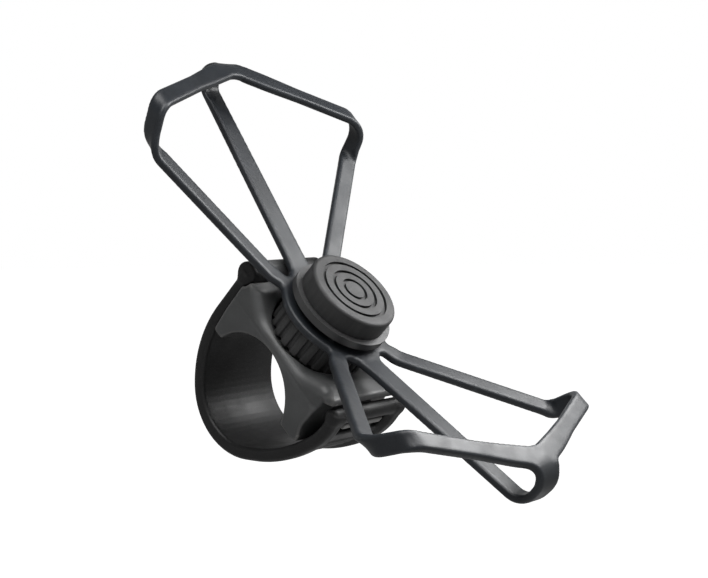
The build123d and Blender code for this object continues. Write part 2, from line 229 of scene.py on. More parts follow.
# ---------------------------------------------------------------- materials
# Features per metre of the noises in moulded(); its grain comes from each material.
CLOUD_SCALE = 90       # slow changes of colour
SMEAR_SCALE = 160      # of gloss
WAVE_SCALE = 420       # of the surface itself
DUST_SCALE = 5200
DUST = (0.32, 0.32, 0.32)
WAVE_DEPTH = 0.00015   # metres
EDGE_WEAR_AND_HIGHLIGHT_SHARE = 0.55      # how far the sharpest edges turn to the edge colour: wear, and on the base's rim a painted highlight
EDGE_WEAR_AND_HIGHLIGHT_FROM, EDGE_WEAR_AND_HIGHLIGHT_TO = 0.51, 0.58  # pointiness of the edges that take the edge colour
CLOUD_DARK, CLOUD_PALE = 0.82, 1.2  # how far the clouds change the colour
GRAIN_STRENGTH, WAVE_STRENGTH = 0.35, 0.12
SCRATCH_SCALE, SHADE_SCALE = 900, 200  # of the noises in metal()
SCRATCH_STRENGTH, SCRATCH_DEPTH = 0.15, 0.00005


def new_material(name, colour, roughness, **sockets):
    """A principled material with its constant values on the shader's own sockets."""
    material = bpy.data.materials.new(name)
    material.use_nodes = True
    shader = material.node_tree.nodes["Principled BSDF"]
    shader.inputs["Base Color"].default_value = (*colour, 1)
    shader.inputs["Roughness"].default_value = roughness
    for socket, value in sockets.items():
        shader.inputs[socket.replace("_", " ")].default_value = value
    return material


def add_node(material, kind, **inputs):
    """A shader node with constant values on its inputs."""
    node = material.node_tree.nodes.new(kind)
    for socket, value in inputs.items():
        node.inputs[socket.replace("_", " ")].default_value = value
    return node


def join(material, start, end):
    """Links an output socket to an input socket."""
    material.node_tree.links.new(start, end)


def object_noise(material, scale, detail=4, roughness=0.55):
    """Noise whose scale is in features per metre."""
    place = add_node(material, "ShaderNodeTexCoord")
    noise = add_node(
        material, "ShaderNodeTexNoise", Scale=scale, Detail=detail, Roughness=roughness,
    )
    join(material, place.outputs["Object"], noise.inputs["Vector"])
    return noise.outputs["Fac"]


def between(material, value, low, high, start=0.0, end=1.0):
    """A value's range from low to high turned into one from start to end."""
    node = add_node(material, "ShaderNodeMapRange")
    node.inputs["From Min"].default_value = low
    node.inputs["From Max"].default_value = high
    node.inputs["To Min"].default_value = start
    node.inputs["To Max"].default_value = end
    join(material, value, node.inputs["Value"])
    return node.outputs["Result"]


def mix_colours(material, share, first, second):
    """Two colours, each a tuple or a socket, mixed by a share."""
    node = material.node_tree.nodes.new("ShaderNodeMix")
    node.data_type = "RGBA"
    for socket, colour in ((node.inputs[6], first), (node.inputs[7], second)):
        if isinstance(colour, tuple):
            socket.default_value = (*colour, 1)
        else:
            join(material, colour, socket)
    join(material, share, node.inputs[0])
    return node.outputs[2]


def add_bumps(material, layers):
    """Stacks bump layers of (height, strength, distance in metres)."""
    shader = material.node_tree.nodes["Principled BSDF"]
    normal = None
    for height, strength, distance in layers:
        bump = add_node(material, "ShaderNodeBump", Strength=strength, Distance=distance)
        join(material, height, bump.inputs["Height"])
        if normal:
            join(material, normal, bump.inputs["Normal"])
        normal = bump.outputs["Normal"]
    join(material, normal, shader.inputs["Normal"])


def moulded(name, colour, edge_wear_and_highlight, roughness, grain_scale, grain_depth, speckle=0.0, **sockets):
    """Moulded plastic or rubber: fine grain, cloudy colour, lighter edges and a little dust; the
    edges are wear, and on the base's rim also a painted highlight.
    """
    material = new_material(name, colour, roughness, **sockets)
    shader = material.node_tree.nodes["Principled BSDF"]
    cloud = object_noise(material, CLOUD_SCALE, detail=5)
    clouded = mix_colours(
        material, between(material, cloud, 0.35, 0.7),
        tuple(CLOUD_DARK * c for c in colour), tuple(CLOUD_PALE * c for c in colour),
    )
    # Sharp edges, found by pointiness, take the edge colour: wear, and where that colour is far
    # paler than the body, as on the base, a painted highlight.
    edges = add_node(material, "ShaderNodeNewGeometry").outputs["Pointiness"]
    edge_wear_and_highlight_mask = between(material, edges, EDGE_WEAR_AND_HIGHLIGHT_FROM, EDGE_WEAR_AND_HIGHLIGHT_TO, 0, EDGE_WEAR_AND_HIGHLIGHT_SHARE)
    shown = mix_colours(material, edge_wear_and_highlight_mask, clouded, edge_wear_and_highlight)
    grain = object_noise(material, grain_scale, detail=3, roughness=0.7)
    if speckle:
        specks = object_noise(material, DUST_SCALE, detail=2)
        dust = between(material, specks, 0.6, 0.72, 0, speckle)
        shown = mix_colours(material, dust, shown, DUST)
    join(material, shown, shader.inputs["Base Color"])
    smear = object_noise(material, SMEAR_SCALE)
    join(material, between(material, smear, 0.3, 0.7, roughness - 0.07, roughness + 0.09),
         shader.inputs["Roughness"])
    wave = object_noise(material, WAVE_SCALE)
    add_bumps(material, [
        (grain, GRAIN_STRENGTH, grain_depth),
        (wave, WAVE_STRENGTH, WAVE_DEPTH),
    ])
    return material


def metal(name, colour, roughness):
    """Turned or rolled metal with fine streaks."""
    material = new_material(name, colour, roughness, Metallic=1.0)
    shader = material.node_tree.nodes["Principled BSDF"]
    streaks = object_noise(material, SCRATCH_SCALE, detail=6, roughness=0.75)
    join(material, between(material, streaks, 0.3, 0.7, roughness - 0.08, roughness + 0.12),
         shader.inputs["Roughness"])
    shade = between(material, object_noise(material, SHADE_SCALE), 0.3, 0.7)
    join(material, mix_colours(material, shade, tuple(0.85 * c for c in colour), colour),
         shader.inputs["Base Color"])
    add_bumps(material, [(streaks, SCRATCH_STRENGTH, SCRATCH_DEPTH)])
    return material


silicone = moulded(
    "harness_silicone", (0.009, 0.0105, 0.0127), edge_wear_and_highlight=(0.026, 0.029, 0.033), roughness=0.42,
    grain_scale=2200, grain_depth=0.00001, speckle=0.045, Specular_IOR_Level=0.26,
)
strap_rubber = moulded(
    "strap_rubber", (0.0062, 0.0062, 0.0064), edge_wear_and_highlight=(0.02, 0.02, 0.02), roughness=0.46,
    grain_scale=2400, grain_depth=0.00006, speckle=0.09, Specular_IOR_Level=0.22,
)
# The base's edge colour, about four times paler than its body, is wear and also a painted
# highlight along the dished rim.
base_plastic = moulded(
    "base_plastic", (0.040, 0.041, 0.0415), edge_wear_and_highlight=(0.17, 0.167, 0.16), roughness=0.46,
    grain_scale=1800, grain_depth=0.00008, speckle=0.05, Specular_IOR_Level=0.34,
)
head_plastic = moulded(
    "head_plastic", (0.010, 0.010, 0.011), edge_wear_and_highlight=(0.035, 0.035, 0.035), roughness=0.42,
    grain_scale=1800, grain_depth=0.00004, Specular_IOR_Level=0.4,
)
dial_rubber = moulded(
    "dial_rubber", (0.02, 0.02, 0.0203), edge_wear_and_highlight=(0.03, 0.03, 0.03), roughness=0.55,
    grain_scale=2400, grain_depth=0.00006, speckle=0.05, Specular_IOR_Level=0.35,
)
pad_rubber = moulded(
    "pad_rubber", (0.010, 0.010, 0.0105), edge_wear_and_highlight=(0.03, 0.03, 0.03), roughness=0.6,
    grain_scale=2400, grain_depth=0.00006, speckle=0.04, Specular_IOR_Level=0.35,
)
acetal = moulded(
    "acetal", (0.62, 0.62, 0.6), edge_wear_and_highlight=(0.7, 0.7, 0.68), roughness=0.35,
    grain_scale=1500, grain_depth=0.00002,
)
steel = metal("steel", (0.55, 0.55, 0.56), roughness=0.3)
spring_steel = metal("spring_steel", (0.42, 0.42, 0.43), roughness=0.26)
brass = metal("brass", (0.72, 0.50, 0.22), roughness=0.3)

slot_materials = {
    "base_plastic": base_plastic,
    "head_plastic": head_plastic,
    "dial_rubber": dial_rubber,
    "pad_rubber": pad_rubber,
    "strap_rubber": strap_rubber,
    "harness_silicone": silicone,
    "steel": steel,
    "spring_steel": spring_steel,
    "brass": brass,
    "acetal": acetal,
}
for subpart in frame["record"]["subparts"]:
    node_mesh = frame["nodes"][subpart["node"]].data
    node_mesh.materials.clear()
    node_mesh.materials.append(slot_materials[subpart["material_slot"]])

# ---------------------------------------------------------------- harness
BAND = 2.3            # thickness
EDGE = 0.75           # rounding of the bands' edges
ARM_WIDTHS = [5.4, 5.4, 5.5, 5.4, 5.0, 4.2]
STEM_WIDTH = 6.2
STEM_WIDTHS = [8, 7.5, STEM_WIDTH, STEM_WIDTH, STEM_WIDTH - 1]
BRIDGE_WIDTH = 3
FORK_BLEND = 1.5      # how far the bands flow into each other
FORK_BEND = 10.5      # radius in which an arm turns into the stem
ROOT_BEND = 12        # and in which a band leaves the hub
ARM_OVERLAP = 4       # an arm ends this far down the stem, past the phone's short edge
HUB_FADE, ARM_FADE, STEM_FADE, BRIDGE_FADE = 5.0, 8, 6, 12.0  # over which a band's end sinks in
HALVES_OVERLAP = 0.6  # the two halves lie in each other this far past the middle
REACH = 6.0           # how far from a band its field is worked out
DEEPEST, FARTHEST = -6, 12  # distances past a band's edge between which it pulls
NET_STEP = 0.5
PATH_STEP = 0.6
BATCH = 20000         # points that are compared with a band's path at a time
ARC_STOPS = 15        # points on an arc, before they are spaced evenly
LEG_SHARE = 0.98      # the most of a leg that an arc takes up
LEVEL = 0.01          # a path this near to the front's height counts as lying on it
STEM_RUN = 20         # how far the stem's path runs past the fork, before it is cut off
STEM_OVERLAP = 1      # this far past the fork

web = (span("harness_hub")[0][2] + span("clamp_plate")[0][2]) / 2
front = 54.3 - BAND / 2       # middle of the bands' thickness over the phone's screen
side = 42.2 - BAND / 2        # and past its long edges
back = 42.0                   # and behind its back
hub_ring = (8.0, 16.5)
ARM_ROOT, ARM_EXIT = (9, 12), (13, 17.5)  # where an arm starts in the hub and leaves it
STEM_ROOT, STEM_EXIT = 8, 17.5
EXIT_RISE = 0.3

# Where an end of the harness turns down the phone's short edge, and its radii of bending:
# over the screen's edge, behind the phone and along the top of the fork.
End = namedtuple("End", "edge edge_bend back_bend bridge_bend")
# Heights up the phone at which an arm wraps its long edge, and the radii of bending there.
Wrap = namedtuple("Wrap", "back front front_bend back_bend")

BEHIND = (0, 0, -1)
AHEAD = (0, 0, 1)


def rounded_path(corners, radii, faces, widths, spacing=PATH_STEP, fades=(1, 1)):
    """Evenly spaced points, faces and widths along straight legs joined by arcs, and end fades.

    There is a radius for each inner corner, a face for each leg and a width for each corner.
    """
    corners = [np.array(c, float) for c in corners]
    stops, normals, spreads = [corners[0]], [np.array(faces[0], float)], [widths[0]]
    for k in range(1, len(corners) - 1):
        before, after = corners[k - 1] - corners[k], corners[k + 1] - corners[k]
        room = LEG_SHARE * min(np.linalg.norm(before), np.linalg.norm(after))
        before, after = before / np.linalg.norm(before), after / np.linalg.norm(after)
        turn = pi - np.arccos(before @ after)
        reach = min(radii[k - 1] * np.tan(turn / 2), room)
        radius = reach / np.tan(turn / 2)
        halfway = (before + after) / np.linalg.norm(before + after)
        centre = corners[k] + halfway * radius / cos(turn / 2)
        first, last = corners[k] + before * reach - centre, corners[k] + after * reach - centre
        for share in np.linspace(0, 1, ARC_STOPS):
            swing = sin((1 - share) * turn) * first + sin(share * turn) * last
            stops.append(centre + swing / sin(turn))
            normals.append((1 - share) * np.array(faces[k - 1]) + share * np.array(faces[k]))
            spreads.append(widths[k])
    stops.append(corners[-1])
    normals.append(np.array(faces[-1], float))
    spreads.append(widths[-1])
    stops, normals = np.array(stops), np.array(normals)
    run = np.concatenate([[0], np.cumsum(np.linalg.norm(np.diff(stops, axis=0), axis=1))])
    even = np.linspace(0, run[-1], int(run[-1] / spacing) + 2)
    path = np.stack([np.interp(even, run, stops[:, k]) for k in range(stops.shape[1])], 1)
    face = np.stack([np.interp(even, run, normals[:, k]) for k in range(3)], 1)
    return path, face, np.interp(even, run, spreads), fades


def band_frame(path, face):
    """Unit tangents, broad-face normals and width directions along a band."""
    tangent = np.gradient(path, axis=0)
    tangent /= np.linalg.norm(tangent, axis=1)[:, None]
    face = face - (face * tangent).sum(1)[:, None] * tangent
    face /= np.linalg.norm(face, axis=1)[:, None]
    return tangent, face, np.cross(tangent, face)


def band_distances(points, band):
    """Distances past a band's edges and faces, and how far the band has faded in from its ends."""
    path, face, width, fades = band
    tangent, face, wide = band_frame(path, face)
    spacing = np.linalg.norm(path[1] - path[0])
    nearest = np.empty(len(points), int)
    for first in range(0, len(points), BATCH):
        some = points[first:first + BATCH]
        square = (some**2).sum(1)[:, None] - 2 * some @ path.T + (path**2).sum(1)
        nearest[first:first + BATCH] = square.argmin(1)
    along = ((points - path[nearest]) * tangent[nearest]).sum(1) / spacing
    beyond = np.clip(nearest + np.where(along > 0, 1, -1), 0, len(path) - 1)
    place = (nearest + along) * spacing
    left = (len(path) - 1) * spacing - place
    fade = np.clip(np.minimum(place / fades[0], left / fades[1]), 0, 1)
    share = np.clip(np.abs(along), 0, 0.5)

    def mixed(table):
        weight = share if table.ndim == 1 else share[:, None]
        return table[nearest] * (1 - weight) + table[beyond] * weight

    offset = points - mixed(path)
    here = mixed(tangent)
    offset -= (offset * here).sum(1)[:, None] * here
    aside = np.abs((offset * mixed(wide)).sum(1)) - mixed(width) / 2
    across = np.abs((offset * mixed(face)).sum(1)) - BAND / 2
    return aside, across, fade


def build_harness(name, bands, turned, material):
    """One half of the harness: bands that flow into each other and into the hub's ring."""
    reach = np.concatenate([band[0] for band in bands] + [[(0, 0, web)]])
    (x, v, n), low = lattice(reach.min(0) - REACH, reach.max(0) + REACH, NET_STEP)
    shape = x.shape
    grid = np.stack([x.ravel(), v.ravel(), n.ravel()], 1)
    weight = np.zeros(len(grid))
    across = np.zeros(len(grid))
    ball = int(REACH / NET_STEP)
    cube = np.indices((2 * ball + 1,) * 3).reshape(3, -1).T - ball
    offsets = cube[(cube**2).sum(1) <= ball**2]
    for band in bands:
        cells = np.round((band[0] - low) / NET_STEP).astype(int)
        near = np.unique((cells[:, None] + offsets[None]).reshape(-1, 3), axis=0)
        near = near[np.all((near >= 0) & (near < shape), axis=1)]
        flat = np.ravel_multi_index(tuple(near.T), shape)
        aside, over, fade = band_distances(grid[flat], band)
        pull = fade * np.exp(-np.clip(aside, DEEPEST, FARTHEST) / FORK_BLEND)
        weight[flat] += pull
        across[flat] += pull * over
    ring_distance = np.hypot(grid[:, 0], grid[:, 1])
    middle, half = sum(hub_ring) / 2, (hub_ring[1] - hub_ring[0]) / 2
    aside = np.abs(ring_distance - middle) - half
    near = aside < REACH
    pull = np.exp(-np.clip(aside[near], DEEPEST, FARTHEST) / FORK_BLEND)
    weight[near] += pull
    across[near] += pull * (np.abs(grid[near, 2] - web) - BAND / 2)
    found = weight > 0
    aside = np.full(len(grid), REACH)
    aside[found] = -FORK_BLEND * np.log(weight[found])
    over = np.full(len(grid), REACH)
    over[found] = across[found] / weight[found]
    values = rounded_slab(aside, over, EDGE)
    values = np.maximum(values, -turned * grid[:, 1] - HALVES_OVERLAP)
    return mesh_field(name, values.reshape(shape), low, NET_STEP, material)


def fold_over(band, edge, bend):
    """Bend what runs past a short edge of the phone down over that edge."""
    path, face, width, fades = band
    path, face = path.copy(), face.copy()
    turned = np.sign(edge)
    run = turned * path[:, 1] - (abs(edge) - bend)
    over = (run > 0) & (path[:, 2] > front - LEVEL)
    swing = np.clip(run / bend, 0, pi / 2)
    beyond = np.clip(run - bend * pi / 2, 0, None)
    folded_v = abs(edge) - bend + bend * np.sin(swing)
    folded_n = front - bend * (1 - np.cos(swing)) - beyond
    path[over, 1], path[over, 2] = turned * folded_v[over], folded_n[over]
    face[over] = np.stack([0 * swing, turned * np.sin(swing), np.cos(swing)], 1)[over]
    return path, face, width, fades


def bend_run(end, fork):
    """Length of band from the fork to where it has turned down the phone's short edge."""
    return abs(end.edge) - end.edge_bend - abs(fork[1]) + end.edge_bend * pi / 2


def arm(sign, end, fork, wrap):
    """A band from the hub, behind the phone, round its long edge and on into the stem."""
    turned = np.sign(end.edge)
    onward = bend_run(end, fork) + ARM_OVERLAP
    corners = [
        (sign * ARM_ROOT[0], turned * ARM_ROOT[1], web),
        (sign * ARM_EXIT[0], turned * ARM_EXIT[1], web + EXIT_RISE),
        (sign * side, wrap.back, back),
        (sign * side, wrap.front, front),
        (*fork, front),
        (fork[0] / 2, fork[1] + onward * turned, front),
    ]
    faces = [BEHIND, BEHIND, (sign, 0, 0), AHEAD, AHEAD]
    radii = [ROOT_BEND, wrap.back_bend, wrap.front_bend, FORK_BEND]
    band = rounded_path(corners, radii, faces, ARM_WIDTHS, fades=(HUB_FADE, ARM_FADE))
    return fold_over(band, end.edge, end.edge_bend)


def stem(end, fork):
    """The band from the fork over the phone's short edge and back to the hub."""
    turned = np.sign(end.edge)
    corners = [
        (0, turned * STEM_ROOT, web),
        (0, turned * STEM_EXIT, web + EXIT_RISE),
        (0, end.edge, back),
        (fork[0] / 2, end.edge, front),
        (fork[0], fork[1] - STEM_RUN * turned, front),
    ]
    faces = [BEHIND, BEHIND, (0, turned, 0), AHEAD]
    radii = [ROOT_BEND, end.back_bend, end.edge_bend]
    path, face, width, _ = rounded_path(corners, radii, faces, STEM_WIDTHS)
    past_fork = turned * path[:, 1] > abs(fork[1]) - STEM_OVERLAP
    kept = (path[:, 2] < front - LEVEL) | past_fork
    return path[kept], face[kept], width[kept], (HUB_FADE, STEM_FADE)


def bridge(end, fork, left, right):
    """The band across the top of the fork, between points halfway along its two arms."""
    middle_of_fork = np.array(fork, float)
    wraps = [np.array((-side, left.front)), np.array((side, right.front))]
    reached = [(middle_of_fork + wrap) / 2 for wrap in wraps]
    corners = [(*reached[0], front), (*fork, front), (*reached[1], front)]
    widths = [BRIDGE_WIDTH] * len(corners)
    fades = (BRIDGE_FADE, BRIDGE_FADE)
    band = rounded_path(corners, [end.bridge_bend], [AHEAD, AHEAD], widths, fades=fades)
    return fold_over(band, end.edge, end.edge_bend)


def half_bands(end, fork, left, right):
    """All the bands of one half of the harness."""
    return [arm(-1, end, fork, left), arm(1, end, fork, right), stem(end, fork),
            bridge(end, fork, left, right)]


upper_bands = half_bands(
    End(edge=81.5 - BAND / 2, edge_bend=7.5, back_bend=3.6, bridge_bend=20), fork=(-3.0, 75.2),
    left=Wrap(back=54.2, front=59.0, front_bend=4.2, back_bend=9.5),
    right=Wrap(back=52.0, front=54.8, front_bend=7.6, back_bend=4.8),
)
lower_bands = half_bands(
    End(edge=BAND / 2 - 76.9, edge_bend=5.0, back_bend=6.0, bridge_bend=42), fork=(0.6, -70.6),
    left=Wrap(back=-49.7, front=-56.3, front_bend=4.2, back_bend=9.5),
    right=Wrap(back=-51.5, front=-55.2, front_bend=7.6, back_bend=4.8),
)
harness_upper = build_harness("harness_upper", upper_bands, 1, silicone)
harness_lower = build_harness("harness_lower", lower_bands, -1, silicone)
for piece, yoke, turned in ((harness_upper, "upper_yoke", 1), (harness_lower, "lower_yoke", -1)):
    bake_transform(piece)
    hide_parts(yoke)
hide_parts("harness_hub")


# ---------------------------------------------------------------- plane outlines
# The strap and the base are built on outlines in the (v, n) plane, square to the bar.
OUTLINE_STEP = 0.4
FINE_STEP = 0.36


def nearest_on(path, spots):
    """For each spot, its path's nearest point: its index, the way from it and its tangent."""
    square = (spots**2).sum(1)[:, None] - 2 * spots @ path.T + (path**2).sum(1)
    nearest = square.argmin(1)
    tangent = np.gradient(path, axis=0)
    tangent /= np.linalg.norm(tangent, axis=1)[:, None]
    offset = spots - path[nearest]
    return nearest, offset, tangent[nearest]


def outline_distance(loop, v, n):
    """Signed distance to a closed loop of points, negative inside."""
    spots = np.stack([v.ravel(), n.ravel()], 1)
    best = np.full(len(spots), np.inf)
    inside = np.zeros(len(spots), bool)
    for start, end in zip(loop, np.roll(loop, -1, axis=0)):
        run = end - start
        if not run.any():
            continue
        share = np.clip(((spots - start) @ run) / (run @ run), 0, 1)
        best = np.minimum(best, np.hypot(*(spots - start - share[:, None] * run).T))
        straddles = (start[1] > spots[:, 1]) != (end[1] > spots[:, 1])
        if run[1]:
            crossing = start[0] + (spots[:, 1] - start[1]) * run[0] / run[1]
            inside ^= straddles & (spots[:, 0] < crossing)
    return np.where(inside, -best, best).reshape(v.shape)


def outline(corners, radii):
    """Closed outline with an arc at each corner; it starts halfway along the last side."""
    middle_point = (np.array(corners[-1], float) + np.array(corners[0], float)) / 2
    points = [tuple(middle_point), *corners, tuple(middle_point)]
    flat = [(0, *p) for p in points]
    faces = [AHEAD] * (len(flat) - 1)
    return rounded_path(flat, radii, faces, [0] * len(flat), OUTLINE_STEP)[0][:-1, 1:]


def spread_sideways(flat, x):
    """A field of the (v, n) plane, repeated across the bar."""
    return np.broadcast_to(flat[None], x.shape)


# ---------------------------------------------------------------- strap
anchor = sum(span("strap_anchor_pin"))[1:] / 2
bar_radius = frame["record"]["mounts"][0]["dims"]["r_mm"]
strap_inner = bar_radius + 0.12
strap_half = span("strap_root")[1][0]
STRAP_STEP = 0.3             # between points along the strap
STRAP_FRONT = 19.85          # inner face of the strap's straight front
STRAP_EDGE = 1.15            # rounding of the strap's edges
TAIL_BEND = -20.0            # where the strap turns up behind the bar
TAIL_TOP = (-25.9, 13.8)     # and where it leans over to its end bar
RAIL, PANEL = 3.8, 2.3       # thickness at the rails and between them
RAIL_WIDTH = 4.2
RAIL_SLOPE = 1.8             # over which a rail rises from the panel
LUG_HALF = 8.0               # of the base's lug, between the strap's knuckles
KNUCKLE = 3.3                # radius
KNUCKLE_GAP = 0.3            # between the knuckles and the base
KNUCKLE_INNER = LUG_HALF + KNUCKLE_GAP
END_BAR = np.array((-26.0, 19.4))
END_BAR_RADIUS = 2.25
WINDOW_HALF = 10.2
WINDOW_MIDDLE, WINDOW_RISE = 14.5, 2.6
RIB_COUNT, RIB_PITCH = 6, 2.6
RIB_START = 13.5             # the first rib's distance from the strap's end
RIB_RISE = 0.55
RIB_SLOPE, RIB_END_SLOPE = 1.4, 1.2  # of a rib's long sides and of its ends
RIB_GAP = 2.2                # between a rib's end and the rail
END_SLACK = 0.4              # how far past its line's ends the strap runs
PAST_END = 3.0               # the distance given to what lies farther out
STRAP_LOW, STRAP_HIGH = (-32, -22), (28, 30)  # the (v, n) box that holds the strap
OUTSIDE = 5.0                # any distance well outside, where a cut doesn't reach


def strap_line():
    """The strap's inner face, from its anchor round the bar to its end bar."""
    tangent_height = strap_inner * sqrt(2)  # of a 45 degree tangent to the bar
    corners = [
        (STRAP_FRONT, anchor[1]),
        (STRAP_FRONT, STRAP_FRONT - tangent_height),
        (0, -tangent_height),
        (TAIL_BEND, -TAIL_BEND - tangent_height),
        TAIL_TOP,
        (END_BAR[0] + 2.0, END_BAR[1]),
    ]
    flat = [(0, *c) for c in corners]
    radii = [29, strap_inner, 40, 18]
    return rounded_path(flat, radii, [AHEAD] * 5, [0] * 6, STRAP_STEP)[0][:, 1:]


def build_strap():
    """The rubber strap: two round rails, a thinner panel, cross ribs and a window for the hook."""
    path = strap_line()
    reach = strap_half + 1
    (x, v, n), low = lattice((-reach, *STRAP_LOW), (reach, *STRAP_HIGH), FINE_STEP)
    spots = np.stack([v[0].ravel(), n[0].ravel()], 1)
    nearest, offset, tangent = nearest_on(path, spots)
    depth = offset[:, 1] * tangent[:, 0] - offset[:, 0] * tangent[:, 1]
    depth = depth.reshape(v[0].shape)
    along = (offset * tangent).sum(1)
    before = (nearest == 0) & (along < -END_SLACK)
    after = (nearest == len(path) - 1) & (along > END_SLACK)
    beyond = (before | after).reshape(v[0].shape)
    run = (nearest * STRAP_STEP + along).reshape(v[0].shape)
    from_end = STRAP_STEP * len(path) - run
    rail_start = strap_half - RAIL_WIDTH
    rise = np.clip((np.abs(x) - rail_start + RAIL_SLOPE / 2) / RAIL_SLOPE, 0, 1)
    top = PANEL + (RAIL - PANEL) * rise * rise * (3 - 2 * rise)
    ribs = np.zeros_like(run)
    for rib in range(RIB_COUNT):
        from_rib = np.abs(from_end - RIB_START - RIB_PITCH * rib)
        ribs = np.maximum(ribs, np.clip(RIB_SLOPE - from_rib * RIB_SLOPE, 0, 1))
    rib_span = np.clip((rail_start - RIB_GAP - np.abs(x)) * RIB_END_SLOPE, 0, 1)
    top = top + RIB_RISE * ribs[None] * rib_span
    across = np.abs(depth[None] - top / 2) - top / 2
    values = rounded_slab(np.abs(x) - strap_half, across, STRAP_EDGE)
    values = np.where(beyond[None], PAST_END, values)
    knuckles = rounded_slab(
        np.maximum(np.abs(x) - strap_half, KNUCKLE_INNER - np.abs(x)),
        np.hypot(v - anchor[0], n - anchor[1]) - KNUCKLE, 0.6,
    )
    lug_gap = np.maximum(np.abs(x) - KNUCKLE_INNER, anchor[1] - KNUCKLE - 1 - n)
    lug_gap = np.where(v > 0, lug_gap, OUTSIDE)
    values = smooth_max(values, -lug_gap, 0.6)
    values = smooth_min(values, knuckles, 1.2)
    end_bar = rounded_slab(
        np.abs(x) - strap_half, np.hypot(v - END_BAR[0], n - END_BAR[1]) - END_BAR_RADIUS, 0.9,
    )
    values = smooth_min(values, end_bar, 1.4)
    window = np.maximum(np.abs(x) - WINDOW_HALF, np.abs(n - WINDOW_MIDDLE) - WINDOW_RISE)
    window = np.where(v < 0, window, OUTSIDE)
    values = smooth_max(values, -window, 0.7)
    return mesh_field("strap", values, low, FINE_STEP, strap_rubber)


strap = build_strap()
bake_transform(strap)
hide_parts("strap_root", "strap_tail")

# ---------------------------------------------------------------- base
base_half = span("base_saddle")[1][0]
SEAT_RADIUS = bar_radius + 0.25
POCKET_RADIUS, POCKET_FLOOR = 14.35, 18.4
BOSS_RADIUS, BOSS_MIDDLE, BOSS_TOP = 5.0, 20, 23.0
INSERT_RADIUS, INSERT_DEPTH = 3.0, 4.6
PAD_HALF, PAD_RADIUS = 14.05, bar_radius + 1.0
PAD_MIDDLE, PAD_TURN = 98, 60  # degrees round the bar: the pad's middle, and its reach from there
CREASE = 17.4                # height of the mould's crease on the sides
CREASE_DEPTH, CREASE_WIDTH = 0.2, 0.4
WAIST = 0.5                  # how much the sides draw in below the crease, and over what height
WAIST_HEIGHT = 14
RIM_ROUND, RIM_EXTRA = 0.8, 2.1    # rounding of the sides' edges, and what the dished rim adds
RIM_LOW, RIM_FRONT, RIM_REAR = 14.5, 18, -23  # where the rim's extra rounding fades out,
RIM_FADE_UP, RIM_FADE_ALONG = 4, 3  # and over what height and length
PIN_RADIUS = 1.5
NECK_MIDDLE, NECK_HALF = (18.2, 22.4), (3.0, 1.8)
HOOK_HALF = 8.5
HOOK_TIP, HOOK_ROOT, HOOK_TOP, HOOK_DEPTH = -27.6, -20.5, 16.7, 1.8
HOOK_SLOPE = 0.4             # of its underside
BASE_LOW, BASE_HIGH = (-29, 2), (27, 29)  # the (v, n) box that holds the base
BASE_OUTLINE = outline(
    [
        (19.3, 4.2), (19.9, 12), (20.1, 24.2), (15.0, 24.2), (8.6, 19.9), (-10.8, 19.9),
        (-18.2, 23.6), (-24.2, 24.3), (-24.9, 22.4), (-21.3, 20.0), (-21.1, 10.0),
        (-22.9, 5.0), (-20.8, 4.3), (-14.0, 4.2), (0, 10), (14.0, 4.4),
    ],
    [1.0, 8, 1.1, 3, 9, 9, 5, 0.9, 0.8, 1.2, 6, 0.9, 0.9, 0.5, 3, 0.5],
)


def saddle_body(x, v, n):
    """The moulded body: its outline with waisted, creased sides and a rounder dished rim."""
    flat_v, flat_n = v[0], n[0]
    profile = outline_distance(BASE_OUTLINE, flat_v, flat_n)
    lower = np.clip((CREASE - flat_n) / WAIST_HEIGHT, 0, 1)
    half_width = base_half - WAIST * lower**1.5
    groove = CREASE_DEPTH * np.exp(-((flat_n - CREASE) / CREASE_WIDTH)**2)
    aside = np.abs(x) - (half_width - groove)[None]
    lifted = np.clip((n - RIM_LOW) / RIM_FADE_UP, 0, 1)
    lifted *= np.clip((RIM_FRONT - v) / RIM_FADE_ALONG, 0, 1)
    lifted *= np.clip((v - RIM_REAR) / RIM_FADE_ALONG, 0, 1)
    rounding = RIM_ROUND + RIM_EXTRA * lifted * lifted * (3 - 2 * lifted)
    return rounded_slab(aside, spread_sideways(profile, x), rounding)


def pad_recess(x, v, n):
    """The shallow recess for the rubber pad in the seat."""
    flat_v, flat_n = v[0], n[0]
    turn = np.degrees(np.arctan2(flat_n, flat_v))
    past_ends = (np.abs(turn - PAD_MIDDLE) - PAD_TURN) * bar_radius * pi / 180
    flat = np.maximum(np.hypot(flat_v, flat_n) - PAD_RADIUS, past_ends)
    return np.maximum(spread_sideways(flat, x), np.abs(x) - PAD_HALF)


